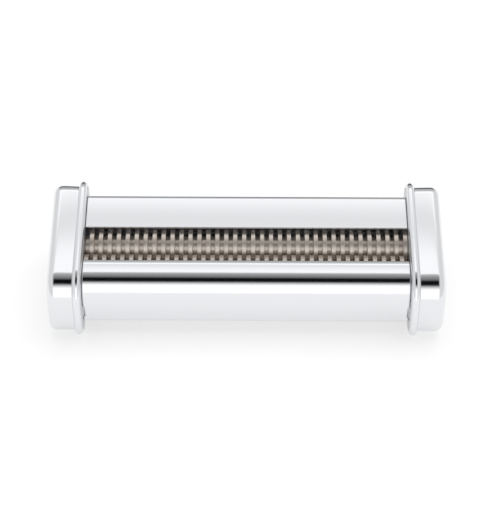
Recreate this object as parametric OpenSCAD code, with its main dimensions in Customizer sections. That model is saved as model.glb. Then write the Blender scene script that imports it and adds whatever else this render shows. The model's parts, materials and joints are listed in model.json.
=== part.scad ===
// Slide-on noodle cutter for a hand pasta machine: two ribbed rollers between side plates,
// bright guards over them and a pressed cap with a rolled rim at each end.
// X runs along the rollers, -Y is the front, +Z is up; the rims stand on z = 0.

/* [Overall size] */
// Length over the two end caps
overall_len = 175; // [140:1:230]
// Depth over the rolled rims, front to back
overall_depth = 65.5; // [62:0.5:80]
// Height over the rolled rims
overall_height = 43.5; // [41:0.5:56]
// Fall of the top towards the front, in degrees
top_slope = 11.5; // [6:0.5:14]

/* [End caps] */
// Sheet thickness of the caps
cap_wall = 1; // [0.6:0.1:1.4]
// Depth of the smooth part of a cap, from its end face to the rim
cap_depth = 11.6; // [10.5:0.1:16]
// Radius between the end face and the sides
cap_edge_r = 4; // [3:0.1:5]
// Radius of the front shoulder in side view
shoulder_r = 12; // [10:0.5:13]
// Radius of the other three corners in side view
corner_r = 7; // [6:0.5:8]
// How far the rolled rim stands out of the cap
rim_proud = 2; // [1:0.1:3]
// Width of the rolled rim beside the side plate
rim_width = 2.5; // [2:0.1:4]
// How far the rolled rim laps over the side plate's edge
rim_lap = 1.1; // [0.5:0.1:1.1]
// Radius of the rim's roll
rim_roll_r = 1.5; // [0.8:0.1:1.5]

/* [Side plates] */
// Thickness of a side plate
plate_t = 1.2; // [0.8:0.1:2]
// How far the plate's edge stays inside the rolled rim
plate_inset = 2.4; // [2.1:0.1:3]
// End play between a roller and a side plate
end_play = 0.2; // [0.1:0.05:0.5]

/* [Guards] */
// Sheet thickness of the guards
guard_t = 0.8; // [0.5:0.1:1]
// How far the guards lie below the caps
guard_drop = 2; // [1.5:0.1:3]
// How far the front guard's face lies behind the caps' fronts
guard_face_drop = 3.75; // [3:0.05:4.5]
// Width of the feed slot between the guards
slot_width = 16.7; // [15:0.1:18]
// Distance from the rear guard's back to the back of the rims
machine_gap = 8.5; // [8.5:0.1:12]
// Height of the guards' lower edges
guard_foot = 7.6; // [6:0.1:10]
// Length of the turned-in lip along the lower edges
lip_len = 3; // [1.5:0.1:4]
// Radius of the small bends
bend_r = 1.6; // [1.2:0.1:2.5]
// Radius of the rear guard's upper bend
rear_bend_r = 3.5; // [2:0.1:4.5]
// Radius of the front guard's curled slot edge
slot_curl_r = 6; // [5:0.5:7]
// How far the slot edge curls down, in degrees
slot_curl = 30; // [10:1:40]
// Width of the tabs that hold a guard in the side plates
tab_w = 6; // [4:0.5:7]
// Length of the tabs past a side plate
tab_past = 1.2; // [0.8:0.1:2]

/* [Cutter rollers] */
// Width of one noodle
strand = 2; // [1.5:0.1:4]
// Outer radius of the cutting rings
ring_r = 8.25; // [7.7:0.05:8.4]
// Radius of the core between the rings
core_r = 5.15; // [4.7:0.05:5.3]
// Side gap between meshing rings
ring_side_gap = 0.05; // [0.03:0.01:0.1]
// Distance between the two roller axes
axis_gap = 14; // [13.8:0.1:14.4]
// Distance from the middle between the rollers to the cutter's middle, towards the front
roller_shift = 3.9; // [3:0.1:4.5]
// Height of the middle between the roller axes
axis_z = 23.5; // [22.5:0.1:24.5]
// Radius of the roller journals
journal_r = 4; // [3:0.1:4.2]

/* [Gears and drive] */
// Teeth on each gear
gear_teeth = 13; // [13:1:17]
// Width of the teeth
gear_w = 6; // [4:0.1:6.5]
// Radius of the gear hubs
hub_r = 5.2; // [4.9:0.1:5.4]
// Length of the gear hubs
hub_len = 3.6; // [3:0.1:4]
// Play between meshing teeth, along the pitch circle
backlash = 0.16; // [0.1:0.01:0.3]
// Radius of the cross pins
cross_pin_r = 1; // [0.8:0.05:1.2]
// Radius of the socket that takes the crank
socket_bore_r = 4; // [3:0.05:4.2]
// Outer radius of the socket
socket_r = 6; // [5.4:0.1:6.2]
// Depth of the socket's round bore
socket_depth = 5.4; // [4:0.1:6]
// Width of the drive slot at the bottom of the bore
drive_slot_w = 3.2; // [2:0.1:4]
// Depth of the drive slot
drive_slot_depth = 2; // [1:0.1:2.5]
// Radius of the crank guide ring in the cap
guide_bore_r = 4.5; // [4.3:0.1:5]
// Wall of the crank guide ring
guide_wall = 0.9; // [0.6:0.1:1.2]

/* [Bushes] */
// Wall of a bush
bush_wall = 1.45; // [1:0.05:1.6]
// Thickness of a bush's flange
bush_flange_t = 1; // [0.8:0.1:1.4]
// How far the flange stands out round the bush
bush_flange = 0.9; // [0.5:0.1:0.95]

/* [Rods, screws and rivets] */
// Radius of the tie rods
rod_r = 2.5; // [2:0.1:2.7]
// Height of the upper rear tie rod over the middle between the rollers
high_rod_rise = 6.5; // [5.5:0.1:8]
// Distance from the upper rear tie rod to the rear guard
rod_wall_gap = 3.2; // [2:0.1:4]
// Depth of the upper front tie rod below the middle between the rollers
front_rod_fall = 5.5; // [4:0.1:6]
// Radius of the rods' threaded ends
rod_end_r = 1.5; // [1.2:0.1:1.8]
// Thickness of the nuts
nut_t = 2.4; // [1.8:0.1:3]
// Radius of a nut across its corners
nut_r = 3.2; // [2.8:0.1:3.6]
// Radius of the cap screws
cap_screw_r = 1.5; // [1.2:0.1:1.8]
// Radius of the cap screws' heads
cap_screw_head_r = 2.8; // [2.4:0.1:3]
// Radius of the posts inside a cap
post_r = 3; // [2.6:0.1:3.4]
// Depth of the rear cap screw below the middle between the rollers
post_fall = 3.5; // [2.5:0.1:5]
// Distance from the rear cap screw's head to the rear guard
post_wall_gap = 1.4; // [1:0.1:2.5]
// Height of the cap screws' heads
cap_screw_head_h = 1.6; // [1.2:0.1:2]
// Radius of the rivets
rivet_r = 1; // [0.8:0.1:1.2]
// Radius of the rivets' heads
rivet_head_r = 1.7; // [1.5:0.1:1.9]

/* [Stripper combs] */
// Thickness of the combs
comb_t = 0.8; // [0.6:0.1:1]
// Gap between a comb's tooth and the core of its roller
comb_gap = 0.4; // [0.2:0.05:0.6]
// Side gap between a comb's tooth and the rings
tooth_side_gap = 0.2; // [0.15:0.05:0.4]
// Length of the comb's teeth
tooth_len = 4.4; // [4.3:0.1:5.5]
// Wall of the eye that holds a comb on its rod
eye_wall = 0.9; // [0.6:0.1:1.2]

/* [Mounting hooks] */
// Thickness of a hook
hook_t = 2.5; // [2:0.1:4]
// Width of the hook's slot
hook_slot_w = 4.4; // [4.2:0.1:4.6]
// Width of a hook
hook_w = 6.6; // [6.2:0.1:6.8]
// Height of a hook
hook_h = 18; // [15:0.5:20]
// Depth of the hook's slot, from its lower end to the round top
hook_slot_h = 10; // [8:0.5:11]
// Height of a hook's lower end
hook_z = 10; // [8:0.5:12]

/* [Hidden] */
$fn = 48;
// Gap of a running fit, on the radius
running_gap = 0.05;
// Gap of a fixed fit, on the radius
fixed_gap = 0.02;
// Gap of a bolt, rivet or tab in its hole
hole_gap = 0.1;
// Gap between pieces that pass each other
pass_gap = 0.4;
// Thickness and width of the crank guide ring's flange
guide_flange_t = 0.8;
guide_flange = 1.2;
// Gap between the drive socket and the crank guide ring
socket_gap = 0.3;
// Retaining ring: thickness, depth of its groove, width of its wall, and the journal past it
clip_t = 0.8;
clip_depth = 0.7;
clip_wall = 1.6;
clip_past = 2.2;
// Involute gear teeth: pressure angle, and tooth height over and under the pitch circle in modules
pressure_angle = 20;
tooth_over = 0.95;
tooth_under = 1.25;
// Points along a tooth's flank, less one
flank_steps = 5;

// Stations along X, measured from the middle
half_len = overall_len / 2;
rim_out = half_len - cap_depth;
plate_out = rim_out - rim_width;
plate_in = plate_out - plate_t;
rim_in = plate_out - rim_lap;
roller_half = plate_in - end_play;
cap_inside = half_len - cap_wall;
flange_out = plate_out + bush_flange_t;
drive_in = flange_out + pass_gap;
gear_out = drive_in + gear_w;
hub_out = gear_out + hub_len;
socket_out = cap_inside - guide_flange_t - socket_gap;
socket_floor = socket_out - socket_depth;
journal_stop = socket_floor - drive_slot_depth;

// Side view: [y, z] of the corner centres, counter-clockwise from the top at the back.
// The path runs where the end face meets its rounded edge.
cap_half_depth = overall_depth / 2 - rim_proud;
back_y = cap_half_depth - corner_r;
top_rear_z = overall_height - rim_proud - corner_r;
low_z = rim_proud + corner_r;
shoulder_y = shoulder_r - cap_half_depth;
top_dir = 90 + top_slope;
shoulder_z = top_rear_z
    - (shoulder_r - corner_r + sin(top_slope) * (back_y - shoulder_y)) / cos(top_slope);
small_r = corner_r - cap_edge_r;
// Each corner: [centre, radius, angle where it starts, angle where it ends]
cap_corners = [
    [[back_y, top_rear_z], small_r, 0, top_dir],
    [[shoulder_y, shoulder_z], shoulder_r - cap_edge_r, top_dir, 180],
    [[-back_y, low_z], small_r, 180, 270],
    [[back_y, low_z], small_r, 270, 360]
];
plate_edge = cap_edge_r + rim_proud - plate_inset;
post_hole = 7;
// Distances of the rivets from a hook's upper end
rivet_places = [6, 2];

// Roller, rod, screw and hook places in side view
// Rollers: the line through their axes is parallel to the sloping top
roller_middle = [-roller_shift, axis_z];
rear_axis = roller_middle + axis_gap / 2 * dir(top_slope);
front_axis = roller_middle - axis_gap / 2 * dir(top_slope);
pitch = 2 * strand;
ring_count = floor(2 * roller_half / pitch + 0.001);
ring_w = strand - 2 * ring_side_gap;

guard_back = overall_depth / 2 - machine_gap;
guard_front = -cap_half_depth + guard_face_drop;
slot_rear = slot_width / 2 - roller_shift;
slot_front = slot_rear - slot_width;
// Guards' top plane: distance from the origin along its own normal
guard_plane = dir(top_dir) * [shoulder_y, shoulder_z] + shoulder_r - guard_drop;

eye_r = rod_r + fixed_gap + eye_wall;
rod_low_z = rim_proud + 3 * rod_r;
lip_reach = bend_r + lip_len;
low_rods = [
    [guard_back - lip_reach - eye_r - pass_gap, rod_low_z],
    [guard_front + lip_reach + eye_r + pass_gap, rod_low_z]
];
high_rods = [
    [guard_back - guard_t - rod_r - rod_wall_gap, axis_z + high_rod_rise],
    [guard_front + guard_t + rod_r + pass_gap, axis_z - front_rod_fall]
];
rods = concat(high_rods, low_rods);
cap_posts = [
    [guard_back - guard_t - cap_screw_head_r - post_wall_gap, axis_z - post_fall],
    [-roller_shift, rim_proud + 2 * post_r]
];
hook_y = guard_back + pass_gap + hook_w / 2;
hook_rivets = [for (down = rivet_places) [hook_y, hook_z + hook_h - down]];
tab_z = guard_foot + bend_r + 1.6;
tab_end = plate_out + tab_past;

chrome = [0.86, 0.87, 0.88];
steel = [0.66, 0.67, 0.69];
dark_steel = [0.5, 0.5, 0.52];
nickel = [0.78, 0.73, 0.68];
bronze = [0.72, 0.55, 0.32];

function dir(a) = [cos(a), sin(a)];
function turned(n) = [-n[1], n[0]];
function arc_start(c) = c[0] + c[1] * dir(c[2]);
function arc_end(c) = c[0] + c[1] * dir(c[3]);
function plane_z(y, d) = (d + y * sin(top_slope)) / cos(top_slope);

// Lays side-view shapes in the YZ plane, with their height along X
module in_side_view() rotate([90, 0, 90]) children();
module at_side(p, x = 0) translate([x, p[0], p[1]]) rotate([0, 90, 0]) children();
module at_axis(a) translate([0, a[0], a[1]]) children();
module on_left() mirror([1, 0, 0]) children();

// The flat area inside the cap's outline, grown outwards by rho
module cap_area(rho) {
    grown = [for (c = cap_corners) [c[0], c[1] + rho, c[2], c[3]]];
    polygon([for (c = grown) each [arc_start(c), arc_end(c)]]);
    for (c = grown) translate(c[0]) circle(c[1]);
}

// A block with the cap's outline grown by rho, from x0 to x1, its edges rounded at each end
module cap_form(rho, x0, x1, round0, round1) hull()
    for (c = cap_corners) translate(c[0]) rotate_extrude($fn = 32) intersection() {
        r = c[1] + rho;
        translate([0, x0]) square([r, x1 - x0]);
        union() {
            translate([0, x0]) square([r - max(round0, round1), x1 - x0]);
            translate([0, x0 + round0]) square([r, x1 - x0 - round0 - round1]);
            if (round0 > 0) translate([r - round0, x0 + round0]) circle(round0);
            if (round1 > 0) translate([r - round1, x1 - round1]) circle(round1);
        }
    }

module end_cap() {
    inner_r = cap_edge_r - cap_wall;
    in_side_view() difference() {
        union() {
            cap_form(cap_edge_r, plate_out, half_len, 0, cap_edge_r);
            cap_form(cap_edge_r + rim_proud, rim_in, rim_out, rim_roll_r, rim_roll_r);
        }
        cap_form(inner_r, rim_in - 1, cap_inside, 0, inner_r);
        cap_form(plate_edge + fixed_gap, rim_in - 1, plate_out, 0, 0);
    }
    for (p = cap_posts)
        at_side(p, plate_out) difference() {
            cylinder(r = post_r, h = cap_inside - plate_out);
            translate([0, 0, -1]) cylinder(r = cap_screw_r + fixed_gap, h = post_hole + 1);
        }
}

module left_end_cap() color(chrome) on_left() end_cap();
module right_end_cap() color(chrome) difference() {
    end_cap();
    at_side(rear_axis, cap_inside - 1) cylinder(r = guide_bore_r + guide_wall + fixed_gap, h = 3);
}

module side_plate() {
    cut_h = plate_t + 2;
    difference() {
        in_side_view() translate([0, 0, plate_in]) linear_extrude(plate_t) cap_area(plate_edge);
        for (a = [rear_axis, front_axis])
            at_side(a, plate_in - 1) cylinder(r = bush_r() + fixed_gap, h = cut_h);
        for (p = rods) at_side(p, plate_in - 1) cylinder(r = rod_end_r + hole_gap, h = cut_h);
        for (p = cap_posts) at_side(p, plate_in - 1) cylinder(r = cap_screw_r + hole_gap, h = cut_h);
        for (p = hook_rivets) at_side(p, plate_in - 1) cylinder(r = rivet_r + fixed_gap, h = cut_h);
        guard_tabs(plate_in - 1, cut_h, hole_gap);
    }
}

module left_side_plate() color(steel) on_left() side_plate();
module right_side_plate() color(steel) side_plate();

// A bent sheet in side view, inside the outline that runs from first through the corners to last
module sheet(first, corners, last) {
    normals = [dir(corners[0][2]), dir(corners[len(corners) - 1][3])];
    difference() {
        sheet_body(first, corners, last, normals, 0, 0);
        sheet_body(first, corners, last, normals, guard_t, 4 * guard_t);
    }
}

// The room behind the sheet at a depth, with its open ends moved past the sheet's ends
module sheet_body(first, corners, last, normals, depth, past) {
    inner = [for (c = corners) [c[0], c[1] - depth, c[2], c[3]]];
    start = first - depth * normals[0] - past * turned(normals[0]);
    end = last - depth * normals[1] + past * turned(normals[1]);
    polygon(concat(
        [start], [for (c = inner) each [arc_start(c), arc_end(c)]], [end],
        [end - 2 * guard_t * normals[1], start - 2 * guard_t * normals[0]]
    ));
    for (c = inner) pie(c);
}

// The sector of a corner's circle between its two angles
module pie(c) translate(c[0]) intersection() {
    circle(c[1]);
    polygon([[0, 0], 2 * c[1] * dir(c[2]), 3 * c[1] * dir((c[2] + c[3]) / 2), 2 * c[1] * dir(c[3])]);
}

module guard_sheet() in_side_view() translate([0, 0, -roller_half]) linear_extrude(2 * roller_half)
    children();

// Tabs of both guards, or their slots when grown by a gap
module guard_tabs(x, len, gap) {
    rear_tab(x, len, gap);
    front_tab(x, len, gap);
}
module rear_tab(x, len, gap)
    translate([x, guard_back - guard_t - gap, tab_z - gap])
        cube([len, guard_t + 2 * gap, tab_w + 2 * gap]);
module front_tab(x, len, gap)
    translate([x, guard_front - gap, tab_z - gap])
        cube([len, guard_t + 2 * gap, tab_w + 2 * gap]);

module both_sides() {
    children();
    on_left() children();
}

module rear_guard() color(chrome) {
    foot = [[guard_back - bend_r, guard_foot + bend_r], bend_r, 270, 360];
    top_y = guard_back - rear_bend_r;
    top = [[top_y, plane_z(top_y, guard_plane - rear_bend_r)], rear_bend_r, 0, top_dir];
    lip_end = arc_start(foot) - [lip_len, 0];
    slot_edge = [slot_rear, plane_z(slot_rear, guard_plane)];
    guard_sheet() sheet(lip_end, [foot, top], slot_edge);
    both_sides() rear_tab(roller_half - 1, tab_end - roller_half + 1, 0);
}

module front_guard() color(chrome) {
    top_r = shoulder_r - guard_drop;
    top_y = guard_front + top_r;
    top = [[top_y, plane_z(top_y, guard_plane - top_r)], top_r, top_dir, 180];
    foot = [[guard_front + bend_r, guard_foot + bend_r], bend_r, 180, 270];
    curl_dir = top_dir - slot_curl;
    curl_y = slot_front - slot_curl_r * cos(curl_dir);
    curl = [[curl_y, plane_z(curl_y, guard_plane - slot_curl_r)], slot_curl_r, curl_dir, top_dir];
    lip_end = arc_end(foot) + [lip_len, 0];
    guard_sheet() sheet(arc_start(curl), [curl, top, foot], lip_end);
    both_sides() front_tab(roller_half - 1, tab_end - roller_half + 1, 0);
}

// Ring centres along X; the two rollers sit half a pitch apart
function ring_places(shift) = [for (i = [0 : ring_count - 1])
    (i - (ring_count - 1) / 2) * pitch + shift];

// A roller turned from one bar: core, rings and a journal at each end
module roller(shift, left_end, right_end)
    rotate([0, 90, 0]) rotate_extrude($fn = 96) polygon(concat(
        [[0, -left_end], [journal_r, -left_end], [journal_r, -roller_half], [core_r, -roller_half]],
        [for (x = ring_places(shift)) each [
            [core_r, x - ring_w / 2], [ring_r, x - ring_w / 2],
            [ring_r, x + ring_w / 2], [core_r, x + ring_w / 2]]],
        [[core_r, roller_half], [journal_r, roller_half], [journal_r, right_end], [0, right_end]]
    ));

module cross_hole(x) translate([x, 0, 0]) cylinder(r = cross_pin_r + fixed_gap, h = 30, center = true);
gear_pin_x = gear_out + hub_len / 2;
socket_pin_x = (drive_in + journal_stop) / 2;

module rear_cutter_roller() color(nickel) at_axis(rear_axis) difference() {
    roller(strand / 2, hub_out, journal_stop);
    cross_hole(-gear_pin_x);
    cross_hole(socket_pin_x);
}

clip_x = drive_in;
clip_r = journal_r - clip_depth;
module front_cutter_roller() color(nickel) at_axis(front_axis) difference() {
    roller(-strand / 2, hub_out, clip_x + clip_past);
    cross_hole(-gear_pin_x);
    translate([clip_x - hole_gap, 0, 0]) rotate([0, 90, 0]) difference() {
        cylinder(r = journal_r + 1, h = clip_t + 2 * hole_gap);
        translate([0, 0, -1]) cylinder(r = clip_r, h = clip_t + 3);
    }
}

module front_retaining_ring() color(dark_steel)
    at_side(front_axis, clip_x) difference() {
        cylinder(r = journal_r + clip_wall, h = clip_t);
        translate([0, 0, -1]) cylinder(r = clip_r + running_gap, h = clip_t + 2);
        translate([0, -clip_wall, -1]) cube([journal_r + 2 * clip_wall, 2 * clip_wall, clip_t + 2]);
    }

// Involute teeth: half of a tooth's angle at radius r
gear_m = axis_gap / gear_teeth;
base_r = axis_gap / 2 * cos(pressure_angle);
root_r = axis_gap / 2 - tooth_under * gear_m;
tip_r = axis_gap / 2 + tooth_over * gear_m;
function inv(a) = tan(a) * 180 / PI - a;
function tooth_half(r) = 90 / gear_teeth - backlash / axis_gap * 90 / PI
    + inv(pressure_angle) - inv(acos(min(1, base_r / r)));
flank = [for (i = [0 : flank_steps]) base_r + (tip_r - base_r) * i / flank_steps];
function polar(r, a) = r * dir(a);

// One tooth points along the angle turn
module gear_area(turn) polygon([
    for (k = [0 : gear_teeth - 1]) let (a = turn + k * 360 / gear_teeth) each tooth(a)
]);
function tooth(a) = concat(
    [polar(root_r, a - tooth_half(base_r))],
    [for (r = flank) polar(r, a - tooth_half(r))],
    [for (i = [flank_steps : -1 : 0]) polar(flank[i], a + tooth_half(flank[i]))],
    [polar(root_r, a + tooth_half(base_r))]
);

// Gear with its hub outwards, on the left-hand side
module gear(a, turn) at_axis(a) difference() {
    union() {
        in_side_view() translate([0, 0, -gear_out]) linear_extrude(gear_w) gear_area(turn);
        translate([-hub_out, 0, 0]) rotate([0, 90, 0]) cylinder(r = hub_r, h = hub_len + 1);
    }
    translate([-hub_out - 1, 0, 0]) rotate([0, 90, 0])
        cylinder(r = journal_r + fixed_gap, h = gear_w + hub_len + 2);
    cross_hole(-gear_pin_x);
}

module rear_gear() color(steel) gear(rear_axis, 180 + top_slope);
module front_gear() color(steel) gear(front_axis, top_slope + 180 / gear_teeth);

module cross_pin(a, x, r) color(dark_steel) at_axis(a) translate([x, 0, 0])
    cylinder(r = cross_pin_r, h = 2 * r, center = true);
module rear_gear_pin() cross_pin(rear_axis, -gear_pin_x, hub_r);
module front_gear_pin() cross_pin(front_axis, -gear_pin_x, hub_r);
module socket_pin() cross_pin(rear_axis, socket_pin_x, socket_r);

module drive_socket() color(steel) at_axis(rear_axis) difference() {
    translate([drive_in, 0, 0]) rotate([0, 90, 0]) cylinder(r = socket_r, h = socket_out - drive_in);
    translate([drive_in - 1, 0, 0]) rotate([0, 90, 0])
        cylinder(r = journal_r + fixed_gap, h = journal_stop - drive_in + 1);
    translate([socket_floor, 0, 0]) rotate([0, 90, 0])
        cylinder(r = socket_bore_r, h = socket_depth + 1);
    translate([journal_stop - 0.5, -socket_bore_r + 0.3, -drive_slot_w / 2])
        cube([drive_slot_depth + 1, 2 * socket_bore_r - 0.6, drive_slot_w]);
    cross_hole(socket_pin_x);
}

module crank_guide_ring() color(dark_steel) at_side(rear_axis, cap_inside - guide_flange_t)
difference() {
    union() {
        cylinder(r = guide_bore_r + guide_wall, h = cap_wall + guide_flange_t);
        cylinder(r = guide_bore_r + guide_wall + guide_flange, h = guide_flange_t);
    }
    translate([0, 0, -1]) cylinder(r = guide_bore_r, h = cap_wall + 3);
}

function bush_r() = journal_r + running_gap + bush_wall;
module bush(a) color(bronze) at_side(a, plate_in) difference() {
    union() {
        cylinder(r = bush_r(), h = plate_t + bush_flange_t);
        translate([0, 0, plate_t]) cylinder(r = bush_r() + bush_flange, h = bush_flange_t);
    }
    translate([0, 0, -1]) cylinder(r = journal_r + running_gap, h = plate_t + bush_flange_t + 2);
}
module left_rear_bush() on_left() bush(rear_axis);
module left_front_bush() on_left() bush(front_axis);
module right_rear_bush() bush(rear_axis);
module right_front_bush() bush(front_axis);

// Comb for a roller: its tip lies under the core, lean degrees off, and its eye is on the rod
tooth_w = pitch - ring_w - 2 * tooth_side_gap;
module comb(axis, rod, lean, shift) {
    tip = axis + (core_r + comb_gap + comb_t / 2) * dir(lean - 90);
    angle = atan2(rod[1] - tip[1], rod[0] - tip[0]);
    width = 2 * roller_half - 2;
    difference() {
        in_side_view() translate([0, 0, -width / 2]) linear_extrude(width) difference() {
            union() {
                translate(tip) rotate(angle) translate([0, -comb_t / 2])
                    square([norm(rod - tip), comb_t]);
                translate(rod) circle(eye_r);
            }
            translate(rod) circle(rod_r + fixed_gap);
        }
        translate([0, tip[0], tip[1]]) rotate([angle, 0, 0]) comb_gaps(width, shift);
    }
}

// What is cut out between a comb's teeth, with the tooth tips at y = 0
module comb_gaps(width, shift) {
    teeth = [for (x = ring_places(shift)) if (abs(x) < roller_half - pitch / 2) x];
    edges = concat([-width / 2 - pitch], teeth, [width / 2 + pitch]);
    for (i = [0 : len(teeth)]) let (
        first = edges[i] + (i == 0 ? 0 : tooth_w / 2),
        last = edges[i + 1] - (i == len(teeth) ? 0 : tooth_w / 2)
    )
        translate([first, -comb_t, -2 * comb_t]) cube([last - first, comb_t + tooth_len, 4 * comb_t]);
}
module rear_stripper_comb() color(steel) comb(rear_axis, low_rods[0], -5, -strand / 2);
module front_stripper_comb() color(steel) comb(front_axis, low_rods[1], 5, strand / 2);

module tie_rod(p) color(steel) {
    at_side(p, -plate_in) cylinder(r = rod_r, h = 2 * plate_in);
    at_side(p, -plate_out - nut_t - 0.6) cylinder(r = rod_end_r, h = 2 * (plate_out + nut_t + 0.6));
}
module upper_rear_tie_rod() tie_rod(rods[0]);
module upper_front_tie_rod() tie_rod(rods[1]);
module lower_rear_tie_rod() tie_rod(rods[2]);
module lower_front_tie_rod() tie_rod(rods[3]);

module tie_nuts() color(dark_steel) for (p = rods)
    at_side(p, plate_out) difference() {
        cylinder(r = nut_r, h = nut_t, $fn = 6);
        translate([0, 0, -1]) cylinder(r = rod_end_r + fixed_gap, h = nut_t + 2);
    }
module left_tie_nuts() on_left() tie_nuts();
module right_tie_nuts() tie_nuts();

module cap_screws() color(dark_steel) for (p = cap_posts)
    at_side(p, plate_in) {
        translate([0, 0, -cap_screw_head_h]) difference() {
            cylinder(r = cap_screw_head_r, h = cap_screw_head_h);
            for (a = [0, 90]) rotate(a) translate([-1.7, -0.4, -1]) cube([3.4, 0.8, 1.8]);
        }
        cylinder(r = cap_screw_r, h = plate_t + 5);
    }
module left_cap_screws() on_left() cap_screws();
module right_cap_screws() cap_screws();

// Hook with a slot that is open downwards, flat against the side plate
module mounting_hook() color(steel) difference() {
    translate([plate_in - hook_t, hook_y - hook_w / 2, hook_z]) cube([hook_t, hook_w, hook_h]);
    translate([plate_in - hook_t - 1, hook_y - hook_slot_w / 2, hook_z - 1])
        cube([hook_t + 2, hook_slot_w, hook_slot_h + 1 - hook_slot_w / 2]);
    at_side([hook_y, hook_z + hook_slot_h - hook_slot_w / 2], plate_in - hook_t - 1)
        cylinder(r = hook_slot_w / 2, h = hook_t + 2);
    for (p = hook_rivets) at_side(p, plate_in - hook_t - 1) cylinder(r = rivet_r + fixed_gap, h = hook_t + 2);
}
module left_mounting_hook() on_left() mounting_hook();
module right_mounting_hook() mounting_hook();

module hook_rivet_pair() color(dark_steel) for (p = hook_rivets) {
    at_side(p, plate_in - hook_t) cylinder(r = rivet_r, h = hook_t + plate_t);
    at_side(p, plate_in - hook_t - 0.7) cylinder(r1 = rivet_head_r - 0.5, r2 = rivet_head_r, h = 0.7);
    at_side(p, plate_out) cylinder(r1 = rivet_head_r, r2 = rivet_head_r - 0.5, h = 0.7);
}
module left_hook_rivets() on_left() hook_rivet_pair();
module right_hook_rivets() hook_rivet_pair();

left_end_cap();
right_end_cap();
left_side_plate();
right_side_plate();
rear_guard();
front_guard();
rear_cutter_roller();
front_cutter_roller();
rear_gear();
front_gear();
rear_gear_pin();
front_gear_pin();
drive_socket();
socket_pin();
crank_guide_ring();
front_retaining_ring();
left_rear_bush();
left_front_bush();
right_rear_bush();
right_front_bush();
rear_stripper_comb();
front_stripper_comb();
upper_rear_tie_rod();
upper_front_tie_rod();
lower_rear_tie_rod();
lower_front_tie_rod();
left_tie_nuts();
right_tie_nuts();
left_cap_screws();
right_cap_screws();
left_mounting_hook();
right_mounting_hook();
left_hook_rivets();
right_hook_rivets();
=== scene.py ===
"""Looks of a slide-on noodle cutter for a hand pasta machine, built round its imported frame.

Lengths are in metres and angles in degrees unless a name says otherwise. X runs along the
rollers, -Y is the front and Z is up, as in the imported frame.
"""

import json
import logging
import math
from dataclasses import dataclass
from enum import Enum
from typing import Any, Iterable, Sequence

import bmesh
import bpy
from mathutils import Matrix, Vector


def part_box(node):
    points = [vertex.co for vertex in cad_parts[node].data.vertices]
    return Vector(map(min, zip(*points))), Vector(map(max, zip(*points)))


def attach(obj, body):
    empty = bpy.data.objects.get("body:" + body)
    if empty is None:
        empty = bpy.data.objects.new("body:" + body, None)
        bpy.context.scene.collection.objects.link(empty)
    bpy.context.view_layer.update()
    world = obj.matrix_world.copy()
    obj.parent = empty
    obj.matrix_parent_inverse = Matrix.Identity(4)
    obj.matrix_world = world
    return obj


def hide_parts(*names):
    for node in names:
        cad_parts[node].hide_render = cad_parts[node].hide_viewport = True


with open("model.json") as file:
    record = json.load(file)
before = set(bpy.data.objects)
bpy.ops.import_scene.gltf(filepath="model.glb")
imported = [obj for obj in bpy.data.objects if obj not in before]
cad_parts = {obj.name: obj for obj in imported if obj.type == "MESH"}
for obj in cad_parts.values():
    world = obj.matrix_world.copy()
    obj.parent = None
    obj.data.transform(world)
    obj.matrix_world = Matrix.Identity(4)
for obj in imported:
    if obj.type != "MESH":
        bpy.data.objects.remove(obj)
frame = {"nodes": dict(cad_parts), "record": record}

LOG = logging.getLogger("noodle_cutter")
MM = 0.001
ACROSS = Vector((1.0, 0.0, 0.0))
UP = Vector((0.0, 0.0, 1.0))
HOUSING = "housing"
_QUARTER = Matrix.Rotation(math.radians(90.0), 3, "Y")
CAP_DEPTH = 11.6 * MM  # smooth part of a cap, from its end face to the bead
SCREW_HEAD_R = 2.8 * MM
CRANK_HOLE_R = 5.4 * MM
END_PLAY = 0.2 * MM  # between a guard or roller and a side plate
SLOT_REAR_Y = 4.45 * MM
SLOT_FRONT_Y = -12.25 * MM
TAB_RISE = 3.2 * MM  # a tab's lower edge over the guards' lower edges
RING_SHIFT = 1.0 * MM  # the rollers' rings stand this far to either side
Stops = Sequence[tuple[float, float]]


# ---------------------------------------------------------------- shader maths


class NodeSheet:
    """One node tree, with a single way to add a node to it."""

    def __init__(self, tree: bpy.types.NodeTree) -> None:
        """Starts the tree afresh.

        Args:
            tree: The node tree of a material or a world.
        """
        self.tree = tree
        tree.nodes.clear()

    def add(
        self,
        kind: str,
        inputs: dict[str | int, Any] | None = None,
        stops: Stops | None = None,
        **settings: Any,
    ) -> bpy.types.Node:
        """Adds a node, sets it up and feeds its sockets.

        Args:
            kind: The node's type name.
            inputs: A value, a Number or a socket for each input, by name or index.
            stops: Place and grey level of each stop, for a colour ramp.
            **settings: Properties of the node, set before its sockets.

        Returns:
            The new node.
        """
        node = self.tree.nodes.new(kind)
        for name, value in settings.items():
            setattr(node, name, value)
        if stops:
            self._set_stops(node.color_ramp, stops)
        for key, value in (inputs or {}).items():
            self.feed(node.inputs[key], value)
        return node

    def feed(self, socket: bpy.types.NodeSocket, value: Any) -> None:
        """Links a Number or socket to an input, or writes a plain value there."""
        if isinstance(value, Number):
            value = value.socket
        if isinstance(value, bpy.types.NodeSocket):
            self.tree.links.new(value, socket)
        else:
            socket.default_value = value

    def number(self, socket: bpy.types.NodeSocket) -> "Number":
        """Wraps an output socket for sums."""
        return Number(self, socket)

    @staticmethod
    def _set_stops(ramp: bpy.types.ColorRamp, stops: Stops) -> None:
        """Gives a colour ramp grey stops, in rising order."""
        while len(ramp.elements) < len(stops):
            ramp.elements.new(1.0)
        for element, (place, level) in zip(ramp.elements, stops):
            element.position = place
            element.color = (level, level, level, 1.0)


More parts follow.
